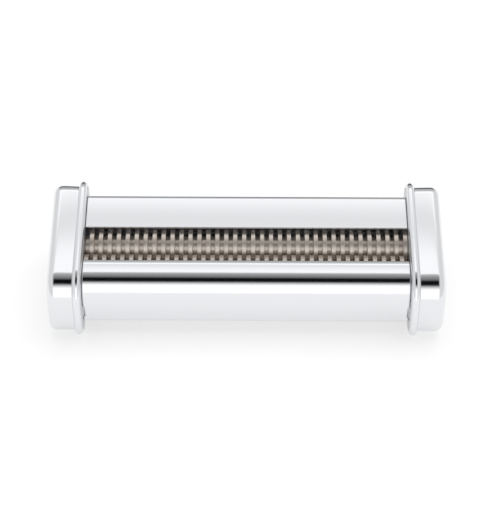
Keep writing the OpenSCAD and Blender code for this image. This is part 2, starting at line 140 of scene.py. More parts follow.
class Number:
    """A number in a node tree: sums on it add Math nodes."""

    def __init__(self, sheet: NodeSheet, socket: bpy.types.NodeSocket) -> None:
        """Wraps a socket.

        Args:
            sheet: The sheet that the socket's node is on.
            socket: An output socket that gives one number.
        """
        self.sheet = sheet
        self.socket = socket

    def math(self, operation: str, *others: Any, clamp: bool = False) -> "Number":
        """Adds a Math node that works on this number.

        Args:
            operation: The Math node's operation.
            *others: The further operands.
            clamp: Whether the result is kept between 0 and 1.

        Returns:
            The result.
        """
        return self._join(operation, (self, *others), clamp)

    def _join(self, operation: str, operands: Iterable[Any], clamp: bool = False) -> "Number":
        """Adds a Math node with the operands in the order given."""
        node = self.sheet.add(
            "ShaderNodeMath", dict(enumerate(operands)), operation=operation, use_clamp=clamp
        )
        return Number(self.sheet, node.outputs[0])

    def __add__(self, other: Any) -> "Number":
        """Sum."""
        return self._join("ADD", (self, other))

    def __radd__(self, other: Any) -> "Number":
        """Sum, reflected."""
        return self._join("ADD", (other, self))

    def __sub__(self, other: Any) -> "Number":
        """Difference."""
        return self._join("SUBTRACT", (self, other))

    def __rsub__(self, other: Any) -> "Number":
        """Difference, reflected."""
        return self._join("SUBTRACT", (other, self))

    def __mul__(self, other: Any) -> "Number":
        """Product."""
        return self._join("MULTIPLY", (self, other))

    def __rmul__(self, other: Any) -> "Number":
        """Product, reflected."""
        return self._join("MULTIPLY", (other, self))

    def __truediv__(self, other: Any) -> "Number":
        """Quotient."""
        return self._join("DIVIDE", (self, other))

    def __rtruediv__(self, other: Any) -> "Number":
        """Quotient, reflected."""
        return self._join("DIVIDE", (other, self))

    def between(self, low: float, high: float) -> "Number":
        """Rises from 0 to 1 as this number goes from low to high."""
        node = self.sheet.add(
            "ShaderNodeMapRange",
            {"Value": self, "From Min": low, "From Max": high},
            interpolation_type="SMOOTHSTEP",
        )
        return Number(self.sheet, node.outputs[0])


# -------------------------------------------------------------------- finishes


class Grain(Enum):
    """Which way the fine marks of a surface run, as a stretch of the pattern along each axis."""

    POLISHED = (1.0, 1.0, 1.0)
    ROLLED = (0.04, 1.0, 1.0)
    TURNED = (1.0, 0.05, 0.05)
    BRUSHED_UP = (1.0, 1.0, 0.05)


@dataclass(frozen=True)
class Finish:
    """A surface: its colour and gloss, and the marks that making and use leave on it.

    Attributes:
        name: The material's name.
        slot: The record's material slot.
        color: Base colour, linear.
        shade: Colour of the smudges and stains, linear.
        metallic: 1 for bare metal, 0 for plastic.
        roughness: Roughness of clean metal.
        smudge: How much rougher a smudge is.
        smudge_size: Size of a smudge.
        stain: How far the colour goes to the shade inside a smudge.
        grain: Which way the fine marks run.
        grain_size: Spacing of the fine marks.
        grain_depth: Depth of the fine marks.
        grain_gloss: How much the fine marks change the roughness.
    """

    name: str
    slot: str
    color: tuple[float, float, float]
    shade: tuple[float, float, float]
    metallic: float = 1.0
    roughness: float = 0.1
    smudge: float = 0.08
    smudge_size: float = 0.012
    stain: float = 0.3
    grain: Grain = Grain.POLISHED
    grain_size: float = 0.0003
    grain_depth: float = 0.000002
    grain_gloss: float = 0.05

    def material(self) -> bpy.types.Material:
        """Makes the finish as a material, or finds it if it was made before.

        Returns:
            The material.
        """
        made = bpy.data.materials.get(self.name)
        if made:
            return made
        made = bpy.data.materials.new(self.name)
        made.use_nodes = True
        sheet = NodeSheet(made.node_tree)
        place = sheet.add("ShaderNodeTexCoord").outputs["Object"]
        smudges = self._smudges(sheet, place)
        marks = self._marks(sheet, place)
        color = sheet.add(
            "ShaderNodeMix",
            {0: smudges * self.stain, 6: (*self.color, 1.0), 7: (*self.shade, 1.0)},
            data_type="RGBA",
        )
        rough = smudges * self.smudge + (marks - 0.5) * self.grain_gloss + self.roughness
        bump = sheet.add(
            "ShaderNodeBump", {"Strength": 1.0, "Distance": self.grain_depth, "Height": marks}
        )
        surface = sheet.add(
            "ShaderNodeBsdfPrincipled",
            {
                "Base Color": color.outputs[2],
                "Metallic": self.metallic,
                "Roughness": rough.math("MAXIMUM", 0.02),
                "Normal": bump.outputs[0],
            },
        )
        sheet.add("ShaderNodeOutputMaterial", {"Surface": surface.outputs[0]})
        return made

    def _smudges(self, sheet: NodeSheet, place: bpy.types.NodeSocket) -> Number:
        """Soft patches that handling and wiping leave.

        Args:
            sheet: The material's sheet.
            place: Object coordinates.

        Returns:
            0 on clean metal, 1 in a smudge.
        """
        broad = sheet.add(
            "ShaderNodeTexNoise",
            {"Vector": place, "Scale": 1.0 / self.smudge_size, "Detail": 5.0, "Roughness": 0.55},
        )
        fine = sheet.add(
            "ShaderNodeTexNoise",
            {"Vector": place, "Scale": 6.0 / self.smudge_size, "Detail": 3.0, "Distortion": 0.6},
        )
        mixed = sheet.number(broad.outputs[0]) * 0.75 + sheet.number(fine.outputs[0]) * 0.25
        return mixed.between(0.44, 0.66)

    def _marks(self, sheet: NodeSheet, place: bpy.types.NodeSocket) -> Number:
        """Fine lines or pits along the grain.

        Args:
            sheet: The material's sheet.
            place: Object coordinates.

        Returns:
            Height of the marks, from 0 to 1.
        """
        stretched = sheet.add(
            "ShaderNodeMapping", {"Vector": place, "Scale": self.grain.value}
        )
        lines = sheet.add(
            "ShaderNodeTexNoise",
            {"Vector": stretched.outputs[0], "Scale": 1.0 / self.grain_size, "Detail": 2.0},
        )
        return sheet.number(lines.outputs[0])


CHROME = (0.785, 0.795, 0.81)
CHROME_SHADE = (0.71, 0.72, 0.74)
PLATED_CAP = Finish("plated_cap", "plated_cap", CHROME, CHROME_SHADE, roughness=0.05,
                    smudge=0.035, smudge_size=0.02, grain_depth=2e-7, grain_gloss=0.01)
PLATED_GUARD = Finish("plated_guard", "plated_guard", CHROME, CHROME_SHADE, roughness=0.055,
                      smudge=0.04, smudge_size=0.025, grain=Grain.ROLLED, grain_depth=3e-7,
                      grain_gloss=0.015)
PLATE_STEEL = Finish("plate_steel", "plate_steel", (0.62, 0.63, 0.65), (0.48, 0.48, 0.49),
                     roughness=0.24, grain=Grain.BRUSHED_UP, grain_gloss=0.12)
ROLLER_NICKEL = Finish("roller_nickel", "roller_nickel", (0.80, 0.69, 0.60), (0.52, 0.40, 0.28),
                       roughness=0.13, smudge_size=0.006, grain=Grain.TURNED, grain_size=0.00012,
                       grain_depth=3e-6, grain_gloss=0.1)
GEAR_STEEL = Finish("gear_steel", "gear_steel", (0.50, 0.50, 0.52), (0.36, 0.34, 0.31),
                    roughness=0.28, grain=Grain.TURNED, grain_gloss=0.12)
PIN_STEEL = Finish("pin_steel", "pin_steel", (0.42, 0.42, 0.44), (0.30, 0.29, 0.29),
                   roughness=0.25, smudge_size=0.004, grain=Grain.BRUSHED_UP)
BUSH_BRONZE = Finish("bush_bronze", "bush_bronze", (0.60, 0.44, 0.24), (0.38, 0.26, 0.13),
                     roughness=0.33, smudge_size=0.005, stain=0.5, grain_size=0.0002,
                     grain_depth=8e-6)
COMB_STEEL = Finish("comb_steel", "comb_steel", (0.68, 0.68, 0.68), (0.54, 0.53, 0.51),
                    roughness=0.26, grain=Grain.ROLLED, grain_gloss=0.12)
ROD_STEEL = Finish("rod_steel", "rod_steel", (0.64, 0.65, 0.67), (0.50, 0.50, 0.50),
                   roughness=0.2, grain=Grain.ROLLED, grain_gloss=0.1)
FASTENER_STEEL = Finish("fastener_steel", "fastener_steel", (0.55, 0.56, 0.58),
                        (0.44, 0.43, 0.38), roughness=0.3, smudge_size=0.004, stain=0.6)
GUIDE_BLACK = Finish("guide_black", "guide_black", (0.03, 0.03, 0.03), (0.05, 0.05, 0.05),
                     metallic=0.0, roughness=0.42, smudge_size=0.005, grain_depth=1e-5)
FINISHES = {finish.slot: finish for finish in (
    PLATED_CAP, PLATED_GUARD, PLATE_STEEL, ROLLER_NICKEL, GEAR_STEEL, PIN_STEEL, BUSH_BRONZE,
    COMB_STEEL, ROD_STEEL, FASTENER_STEEL, GUIDE_BLACK)}


# ---------------------------------------------------------------- making meshes


class Pen:
    """Draws a wire from vertex to vertex with extrudes and spins, in one plane."""

    def __init__(self, start: Vector, axis: Vector) -> None:
        """Puts the pen down.

        Args:
            start: The first vertex.
            axis: Normal of the plane that the wire lies in, for its arcs.
        """
        self.bm = bmesh.new()
        self.axis = axis
        self.tip = self.bm.verts.new(start)

    def line_to(self, point: Vector) -> "Pen":
        """Draws a straight line to a point."""
        made = bmesh.ops.extrude_vert_indiv(self.bm, verts=[self.tip])
        step = point - self.tip.co
        self.tip = made["verts"][0]
        bmesh.ops.translate(self.bm, verts=[self.tip], vec=step)
        return self

    def arc(self, centre: Vector, degrees: float, steps: int) -> "Pen":
        """Draws an arc.

        Args:
            centre: The arc's centre.
            degrees: How far it turns, anticlockwise about the axis.
            steps: Number of edges.

        Returns:
            The pen.
        """
        made = bmesh.ops.spin(
            self.bm, geom=[self.tip], cent=centre, axis=self.axis,
            angle=math.radians(degrees), steps=steps, use_merge=False, use_duplicate=False,
        )
        self.tip = next(g for g in made["geom_last"] if isinstance(g, bmesh.types.BMVert))
        return self


def run_along(bm: bmesh.types.BMesh, edges: list[bmesh.types.BMEdge], step: Vector) -> list:
    """Carries a wire straight along a step and leaves faces behind it.

    Args:
        bm: The mesh.
        edges: The wire's edges.
        step: Where it goes.

    Returns:
        The edges at the far end.
    """
    made = bmesh.ops.extrude_edge_only(bm, edges=edges)["geom"]
    moved = [g for g in made if isinstance(g, bmesh.types.BMVert)]
    bmesh.ops.translate(bm, verts=moved, vec=step)
    drawn = (g for g in made if isinstance(g, bmesh.types.BMEdge))
    return [edge for edge in drawn if all(v in moved for v in edge.verts)]


def turn_about(
    bm: bmesh.types.BMesh, edges: list, centre: Vector, axis: Vector, degrees: float, steps: int
) -> list:
    """Turns a wire about an axis and leaves faces behind it.

    Args:
        bm: The mesh.
        edges: The wire's edges.
        centre: A point on the axis.
        axis: The axis.
        degrees: How far it turns.
        steps: Number of faces along the turn.

    Returns:
        The edges at the far end.
    """
    verts = list({v for e in edges for v in e.verts})
    made = bmesh.ops.spin(
        bm, geom=verts + edges, cent=centre, axis=axis, angle=math.radians(degrees),
        steps=steps, use_merge=False, use_duplicate=False,
    )
    return [g for g in made["geom_last"] if isinstance(g, bmesh.types.BMEdge)]


def add_peg(bm: bmesh.types.BMesh, start: Vector, length: float, radius: float,
            chamfer: float, segments: int = 32) -> None:
    """Adds a round peg along X with chamfered ends.

    Args:
        bm: The mesh.
        start: Middle of the near end.
        length: Length along X, which may be negative.
        radius: The peg's radius.
        chamfer: Width of the chamfer at each end.
        segments: Sides round the peg.
    """
    made = bmesh.ops.create_circle(bm, cap_ends=True, segments=segments, radius=radius - chamfer)
    verts = made["verts"]
    bmesh.ops.rotate(bm, verts=verts, cent=Vector(), matrix=_QUARTER)
    bmesh.ops.translate(bm, verts=verts, vec=start)
    face = verts[0].link_faces[0]
    sign = math.copysign(1.0, length)
    for step, growth in ((chamfer, chamfer), (abs(length) - 2 * chamfer, 0.0), (chamfer, -chamfer)):
        made = bmesh.ops.extrude_face_region(bm, geom=[face])["geom"]
        face = next(g for g in made if isinstance(g, bmesh.types.BMFace))
        bmesh.ops.translate(bm, verts=list(face.verts), vec=ACROSS * step * sign)
        middle = face.calc_center_median()
        for vert in face.verts:
            vert.co += (vert.co - middle).normalized() * growth


def finish_mesh(bm: bmesh.types.BMesh, name: str, sharp: float = 32.0) -> bpy.types.Object:
    """Closes a mesh's seams, turns its faces outwards and makes it an object.

    Args:
        bm: The mesh; it is freed.
        name: The piece's name.
        sharp: Angle above which an edge stays sharp.

    Returns:
        The object, at the origin.
    """
    bmesh.ops.remove_doubles(bm, verts=bm.verts[:], dist=1e-6)
    bmesh.ops.recalc_face_normals(bm, faces=bm.faces[:])
    for face in bm.faces:
        face.smooth = True
    limit = math.radians(sharp)
    for edge in bm.edges:
        edge.smooth = not edge.is_manifold or edge.calc_face_angle(0.0) < limit
    mesh = bpy.data.meshes.new(name)
    bm.to_mesh(mesh)
    bm.free()
    piece = bpy.data.objects.new(name, mesh)
    bpy.context.scene.collection.objects.link(piece)
    return piece


def settle(piece: bpy.types.Object, finish: Finish, body: str, *nodes: str) -> None:
    """Dresses a piece, ties it to its body and hides the CAD nodes that it stands for.

    Args:
        piece: The finished piece.
        finish: Its finish.
        body: The body that it rides on.
        *nodes: CAD nodes that it stands for.
    """
    piece.data.materials.clear()
    piece.data.materials.append(finish.material())
    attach(piece, body)
    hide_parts(*nodes)
    LOG.info("%s rides on %s and stands for %s", piece.name, body, ", ".join(nodes))


# ------------------------------------------------------------- the side outline


def aim(degrees: float) -> Vector:
    """Unit vector in the side view, at an angle from +Y towards +Z."""
    turn = math.radians(degrees)
    return Vector((0.0, math.cos(turn), math.sin(turn)))


@dataclass(frozen=True)
class Corner:
    """A round corner of a side outline.

    Attributes:
        centre: Its centre, at X = 0.
        radius: Its radius.
        start: Angle where it starts.
        end: Angle where it ends.
    """

    centre: Vector
    radius: float
    start: float
    end: float

    def point(self, degrees: float, grow: float = 0.0) -> Vector:
        """The corner's point at an angle, with its radius grown."""
        return self.centre + aim(degrees) * (self.radius + grow)


@dataclass(frozen=True)
class SideOutline:
    """The outline that the caps' walls follow, seen along the rollers.

    Attributes:
        half_depth: Half of the walls' depth.
        top: Height of the walls' highest point.
        bottom: Height of the walls' lowest point.
        slope: How far the top leans to the front.
        corner_r: Radius of the two rear corners and the low front one.
        shoulder_r: Radius of the front shoulder.
    """

    half_depth: float
    top: float
    bottom: float
    slope: float = 11.5
    corner_r: float = 7.0 * MM
    shoulder_r: float = 12.0 * MM

    @property
    def top_aim(self) -> float:
        """Angle of the top plane's normal."""
        return 90.0 + self.slope

    def shoulder_centre(self) -> Vector:
        """Centre of the front shoulder, level with the rear corner's tangent."""
        lean = math.radians(self.slope)
        back = self.half_depth - self.corner_r
        y = self.shoulder_r - self.half_depth
        drop = (self.shoulder_r - self.corner_r + math.sin(lean) * (back - y)) / math.cos(lean)
        return Vector((0.0, y, self.top - self.corner_r - drop))

    def corners(self) -> list[Corner]:
        """The four corners, anticlockwise from the upper rear one."""
        back = self.half_depth - self.corner_r
        low = self.bottom + self.corner_r
        return [
            Corner(Vector((0.0, back, self.top - self.corner_r)), self.corner_r, 0.0, self.top_aim),
            Corner(self.shoulder_centre(), self.shoulder_r, self.top_aim, 180.0),
            Corner(Vector((0.0, -back, low)), self.corner_r, 180.0, 270.0),
            Corner(Vector((0.0, back, low)), self.corner_r, 270.0, 360.0),
        ]

    def plane_height(self, y: float, drop: float) -> float:
        """Height over y of a plane that lies a drop below the top."""
        lean = math.radians(self.slope)
        centre = self.shoulder_centre()
        reach = aim(self.top_aim).dot(centre) + self.shoulder_r - drop
        return (reach + y * math.sin(lean)) / math.cos(lean)


# ------------------------------------------------------------------- end caps


@dataclass(frozen=True)
class EndCap:
    """A pressed and plated cap: a cup with a soft edge and a rolled bead round its mouth.

    Attributes:
        outline: The outline of its wall.
        end: X of its end face.
        mouth: X of the side plate's outer face, where the wall ends.
        bead_near: X of the bead's near side, over the plate's edge.
        bead_far: X of the bead's far side.
        post_places: Side-view places of the two screw posts.
        wall: Sheet thickness.
        edge_r: Radius between the end face and the wall.
        bead_proud: How far the bead stands out.
        waist: How far the wall draws in beside the bead.
        plate_gap: Depth from the wall's surface to the plate's edge.
        post_r: Radius of a post.
        hole_r: Radius of the crank hole, or 0.
        hole_place: Side-view place of the crank hole.
        post_chamfer: Chamfer of a post's ends.
        bead_turn: How far the bead's roll turns.
        valley_w: Width of the bead's foot on the wall.
        wall_stations: Shares of the wall's width where its section bends.
    """

    outline: SideOutline
    end: float
    mouth: float
    bead_near: float
    bead_far: float
    post_places: tuple[Vector, ...]
    wall: float = 1.0 * MM
    edge_r: float = 4.0 * MM
    bead_proud: float = 2.0 * MM
    waist: float = 0.22 * MM
    plate_gap: float = 0.3 * MM
    post_r: float = 3.0 * MM
    hole_r: float = 0.0
    hole_place: Vector = Vector((0.0, 0.0, 0.0))
    post_chamfer: float = 0.2 * MM
    bead_turn: float = 150.0
    valley_w: float = 0.25 * MM
    wall_stations: tuple[float, ...] = (0.12, 0.28, 0.5, 0.75, 1.0)

    def build(self, name: str, node: str, on_left: bool) -> None:
        """Builds the cap and puts it in place.

        Args:
            name: The piece's name.
            node: The CAD node that it stands for.
            on_left: Whether it is mirrored to the left end.
        """
        bm = self._section()
        self._carry_round(bm)
        bmesh.ops.remove_doubles(bm, verts=bm.verts[:], dist=1e-6)
        self._close_end(bm)
        for place in self.post_places:
            add_peg(bm, place + ACROSS * self.mouth, self.end - self.wall - self.mouth,
                    self.post_r, self.post_chamfer)
        if on_left:
            bmesh.ops.scale(bm, verts=bm.verts[:], vec=(-1.0, 1.0, 1.0))
        piece = finish_mesh(bm, name, sharp=50.0)
        settle(piece, PLATED_CAP, HOUSING, node)

    def _section(self) -> bmesh.types.BMesh:
        """Traces the sheet's section at the upper rear corner, from inside to outside.

        Returns:
            A mesh that holds the wire.
        """
        corner = self.outline.corners()[0]
        wall_y = corner.centre.y + corner.radius
        z = corner.centre.z

        def at(x: float, below: float) -> Vector:
            """The section's point at x, at a depth below the wall's surface."""
            return Vector((x, wall_y - below, z))

        bead_r = (self.bead_far - self.bead_near) / 2
        bead_middle = at(self.bead_near + bead_r, bead_r - self.bead_proud)
        bead_low = bead_r - self.bead_proud
        inner_end = self.end - self.wall
        edge_x = self.end - self.edge_r
        pen = Pen(at(inner_end, self.edge_r), UP)
        pen.arc(at(edge_x, self.edge_r), 90.0, 10)
        pen.line_to(at(self.mouth, self.wall))
        pen.line_to(at(self.mouth, self.plate_gap))
        pen.line_to(at(self.bead_near, self.plate_gap))
        pen.line_to(at(self.bead_near, bead_low))
        pen.arc(bead_middle, -self.bead_turn, 18)
        valley = self.bead_far + self.valley_w
        pen.line_to(at(valley, self.waist))
        for share in self.wall_stations:
            x = valley + (edge_x - valley) * share
            pen.line_to(at(x, self.waist * (1.0 - math.sin(share * math.pi / 2))))
        pen.arc(at(edge_x, self.edge_r), -90.0, 14)
        return pen.bm

    def _carry_round(self, bm: bmesh.types.BMesh) -> None:
        """Carries the section once round the outline.

        Args:
            bm: The mesh that holds the section's wire.
        """
        corners = self.outline.corners()
        edges = bm.edges[:]
        for corner, following in zip(corners, corners[1:] + corners[:1]):
            turn = corner.end - corner.start
            edges = turn_about(bm, edges, corner.centre, ACROSS, turn, max(8, round(turn / 5.5)))
            step = following.point(following.start) - corner.point(corner.end)
            edges = run_along(bm, edges, step)

    def _close_end(self, bm: bmesh.types.BMesh) -> None:
        """Closes the end face's two skins, round the crank hole where there is one.

        Args:
            bm: The mesh of the cap.
        """
        rims = []
        for x in (self.end, self.end - self.wall):
            open_edges = (e for e in bm.edges if e.is_boundary)
            loop = [e for e in open_edges if all(abs(v.co.x - x) < 1e-6 for v in e.verts)]
            if not self.hole_r:
                bmesh.ops.contextual_create(bm, geom=loop)
                continue
            made = bmesh.ops.create_circle(bm, cap_ends=False, segments=48, radius=self.hole_r)
            bmesh.ops.rotate(bm, verts=made["verts"], cent=Vector(), matrix=_QUARTER)
            bmesh.ops.translate(bm, verts=made["verts"], vec=self.hole_place + ACROSS * x)
            ring = list({e for v in made["verts"] for e in v.link_edges})
            bmesh.ops.bridge_loops(bm, edges=loop + ring)
            rims += ring
        if rims:
            bmesh.ops.bridge_loops(bm, edges=rims)


# --------------------------------------------------------------------- guards


@dataclass(frozen=True)
class Guards:
    """The two bright sheets over the rollers.

    Attributes:
        outline: The caps' outline, which the sheets lie below.
        half_len: Half of the sheets' length.
        tab_half: Half of the length over the tabs.
        back: Y of the rear sheet's back.
        slot_rear: Y of the feed slot's rear edge.
        slot_front: Y of its front edge.
        face: Y of the front sheet's front face.
        foot: Height of the sheets' lower edges.
        tab_z: Height of the tabs' lower edges.
        drop: Depth of the sheets below the caps' surface.
        sheet_t: Sheet thickness.
        rear_bend_r: Radius of the rear sheet's upper bend.
        fold_r: Radius of the small bends.
        lip: Length of the turned-in lips.
        curl_r: Radius of the front sheet's curled slot edge.
        curl: How far that edge curls.
        tab_w: Width of the tabs.
        margin: Width of the strip of small faces along each border.
        edge_round: Rounding of the sheets' edges.
        tab_round: Rounding of the tabs' edges.
        tab_root: How far a tab reaches into its sheet.
    """

    outline: SideOutline
    half_len: float
    tab_half: float
    back: float
    slot_rear: float
    slot_front: float
    face: float
    foot: float
    tab_z: float
    drop: float = 2.0 * MM
    sheet_t: float = 0.8 * MM
    rear_bend_r: float = 3.5 * MM
    fold_r: float = 1.6 * MM
    lip: float = 3.0 * MM
    curl_r: float = 6.0 * MM
    curl: float = 30.0
    tab_w: float = 6.0 * MM
    margin: float = 0.5 * MM
    edge_round: float = 0.15 * MM
    tab_round: float = 0.1 * MM
    tab_root: float = 1.0 * MM

    def build(self) -> None:
        """Builds both sheets and puts them in place."""
        self._sheet("rear_guard_sheet", "rear_guard", self._rear_wire(), self.back - self.sheet_t)
        self._sheet("front_guard_sheet", "front_guard", self._front_wire(), self.face)

    def _rear_wire(self) -> bmesh.types.BMesh:
        """Section of the rear sheet's outer side, from its lip up to the slot."""
        fold = Vector((-self.half_len, self.back - self.fold_r, self.foot + self.fold_r))
        y = self.back - self.rear_bend_r
        height = self.outline.plane_height(y, self.drop + self.rear_bend_r)
        bend = Vector((-self.half_len, y, height))
        lip_start = fold - UP * self.fold_r
        pen = Pen(lip_start - Vector((0.0, self.lip, 0.0)), ACROSS)
        pen.line_to(lip_start - Vector((0.0, self.lip - self.margin, 0.0)))
        pen.line_to(lip_start)
        pen.arc(fold, 90.0, 6)
        pen.line_to(bend + aim(0.0) * self.rear_bend_r)
        pen.arc(bend, self.outline.top_aim, 16)
        for y in (self.slot_rear + self.margin, self.slot_rear):
            pen.line_to(Vector((-self.half_len, y, self.outline.plane_height(y, self.drop))))
        return pen.bm

    def _front_wire(self) -> bmesh.types.BMesh:
        """Section of the front sheet's outer side, from its curled slot edge to its lip."""
        start = self.outline.top_aim - self.curl
        y = self.slot_front - self.curl_r * math.cos(math.radians(start))
        height = self.outline.plane_height(y, self.drop + self.curl_r)
        curl = Vector((-self.half_len, y, height))
        radius = self.outline.shoulder_r - self.drop
        y = self.face + radius
        height = self.outline.plane_height(y, self.drop + radius)
        shoulder = Vector((-self.half_len, y, height))
        fold = Vector((-self.half_len, self.face + self.fold_r, self.foot + self.fold_r))
        pen = Pen(curl + aim(start) * self.curl_r, ACROSS)
        pen.arc(curl, self.curl, 8)
        pen.line_to(shoulder + aim(self.outline.top_aim) * radius)
        pen.arc(shoulder, 180.0 - self.outline.top_aim, 22)
        pen.line_to(fold + aim(180.0) * self.fold_r)
        pen.arc(fold, 90.0, 6)
        lip_start = fold - UP * self.fold_r
        pen.line_to(lip_start + Vector((0.0, self.lip - self.margin, 0.0)))
        pen.line_to(lip_start + Vector((0.0, self.lip, 0.0)))
        return pen.bm

    def _sheet(self, name: str, node: str, bm: bmesh.types.BMesh, tab_y: float) -> None:
        """Draws a section out along the rollers, gives it its thickness and adds its tabs.

        Args:
            name: The piece's name.
            node: The CAD node that it stands for.
            bm: The mesh that holds the section's wire.
            tab_y: Front face of the tabs.
        """
        edges = bm.edges[:]
        for step in (self.margin, 2 * (self.half_len - self.margin), self.margin):
            edges = run_along(bm, edges, ACROSS * step)
        bmesh.ops.recalc_face_normals(bm, faces=bm.faces[:])
        outer = max(bm.faces, key=lambda f: f.calc_center_median().z)
        if outer.normal.z < 0:
            bmesh.ops.reverse_faces(bm, faces=bm.faces[:])
        bmesh.ops.solidify(bm, geom=bm.faces[:], thickness=self.sheet_t)
        edges = [e for e in bm.edges if e.is_manifold and e.calc_face_angle(0.0) > math.radians(60)]
        bmesh.ops.bevel(bm, geom=edges, offset=self.edge_round, offset_type="OFFSET", segments=2,
                        profile=0.5, affect="EDGES", material=-1, clamp_overlap=True)
        for side in (-1.0, 1.0):
            self._tab(bm, side, tab_y)
        settle(finish_mesh(bm, name), PLATED_GUARD, HOUSING, node)

    def _tab(self, bm: bmesh.types.BMesh, side: float, tab_y: float) -> None:
        """Adds the tab at one end of a sheet.

        Args:
            bm: The sheet's mesh.
            side: -1 for the left end, 1 for the right one.
            tab_y: The tab's front face.
        """
        root = self.half_len - self.tab_root
        verts = bmesh.ops.create_cube(bm, size=1.0)["verts"]
        bmesh.ops.scale(bm, verts=verts, vec=(self.tab_half - root, self.sheet_t, self.tab_w))
        middle = Vector((side * (self.tab_half + root) / 2, tab_y + self.sheet_t / 2,
                         self.tab_z + self.tab_w / 2))
        bmesh.ops.translate(bm, verts=verts, vec=middle)
        edges = list({e for v in verts for e in v.link_edges})
        bmesh.ops.bevel(bm, geom=edges, offset=self.tab_round, offset_type="OFFSET", segments=1,
                        profile=0.5, affect="EDGES", material=-1, clamp_overlap=True)


# ---------------------------------------------------------------- cutter rollers


@dataclass(frozen=True)
class CutterRoller:
    """A roller turned from one bar, with cutting rings between its two journals.

    Attributes:
        axis: A point on its axis.
        left: X of its left end.
        right: X of its right end.
        barrel: Half of the length of its ribbed part.
        shift: How far the rings are moved along X.
        rings: Number of rings.
        pitch: Distance between rings.
        ring_w: Width of a ring.
        ring_r: Outer radius of the rings.
        core_r: Radius between them.
        journal_r: Radius of the journals.
        land: Radius of the rings' edges.
        hollow: Depth of the shallow hollow round each ring's face.
        chamfer: Chamfer of the journals' ends.
    """

    axis: Vector
    left: float
    right: float
    barrel: float
    shift: float
    rings: int = 36
    pitch: float = 4.0 * MM
    ring_w: float = 1.9 * MM
    ring_r: float = 8.25 * MM
    core_r: float = 5.15 * MM
    journal_r: float = 4.0 * MM
    land: float = 0.16 * MM
    hollow: float = 0.07 * MM
    chamfer: float = 0.3 * MM

    def build(self, name: str, node: str, body: str) -> None:
        """Builds the roller and puts it on its body.

        Args:
            name: The piece's name.
            node: The CAD node that it stands for.
            body: The body that it rides on.
        """
        pen = Pen(self._at(self.left, 0.0), Vector((0.0, 1.0, 0.0)))
        pen.line_to(self._at(self.left, self.journal_r - self.chamfer))
        pen.line_to(self._at(self.left + self.chamfer, self.journal_r))
        pen.line_to(self._at(-self.barrel, self.journal_r))
        pen.line_to(self._at(-self.barrel, self.core_r))
        for index in range(self.rings):
            middle = (index - (self.rings - 1) / 2) * self.pitch + self.shift
            self._ring(pen, middle)
        pen.line_to(self._at(self.barrel, self.core_r))
        pen.line_to(self._at(self.barrel, self.journal_r))
        pen.line_to(self._at(self.right - self.chamfer, self.journal_r))
        pen.line_to(self._at(self.right, self.journal_r - self.chamfer))
        pen.line_to(self._at(self.right, 0.0))
        bm = pen.bm
        bmesh.ops.spin(bm, geom=bm.verts[:] + bm.edges[:], cent=self.axis, axis=ACROSS,
                       angle=math.tau, steps=64, use_merge=True, use_duplicate=False)
        settle(finish_mesh(bm, name), ROLLER_NICKEL, body, node)

    def _at(self, x: float, radius: float) -> Vector:
        """Point of the profile above the axis."""
        return Vector((x, self.axis.y, self.axis.z + radius))

    def _ring(self, pen: Pen, middle: float) -> None:
        """Draws one ring's profile, with round edges and a shallow hollow in its face.

        Args:
            pen: The pen that draws the roller's profile.
            middle: X of the ring's middle.
        """
        near = middle - self.ring_w / 2
        far = middle + self.ring_w / 2
        shoulder = self.ring_r - self.land
        pen.line_to(self._at(near, self.core_r))
        pen.line_to(self._at(near, shoulder))
        pen.arc(self._at(near + self.land, shoulder), 90.0, 3)
        pen.line_to(self._at(middle - 0.2 * self.ring_w, self.ring_r - self.hollow))
        pen.line_to(self._at(middle + 0.2 * self.ring_w, self.ring_r - self.hollow))
        pen.line_to(self._at(far - self.land, self.ring_r))
        pen.arc(self._at(far - self.land, shoulder), 90.0, 3)
        pen.line_to(self._at(far, self.core_r))


# ----------------------------------------------------------------- carried nodes


@dataclass(frozen=True)
class CarriedNodes:
    """The CAD nodes whose shape is right already and which only need their finish.

    Attributes:
        replaced: Names of the nodes that a modelled piece stands for.
    """

    replaced: frozenset[str]

    def dress(self) -> None:
        """Gives each kept node the finish of its record slot."""
        for row in frame["record"]["subparts"]:
            node = frame["nodes"][row["node"]]
            if row["node"] in self.replaced:
                continue
            material = FINISHES[row["material_slot"]].material()
            if not node.material_slots:
                node.data.materials.append(material)
            for place in node.material_slots:
                place.material = material
            LOG.info("%s keeps its shape, finish %s", row["node"], material.name)


# ------------------------------------------------------------------------ studio


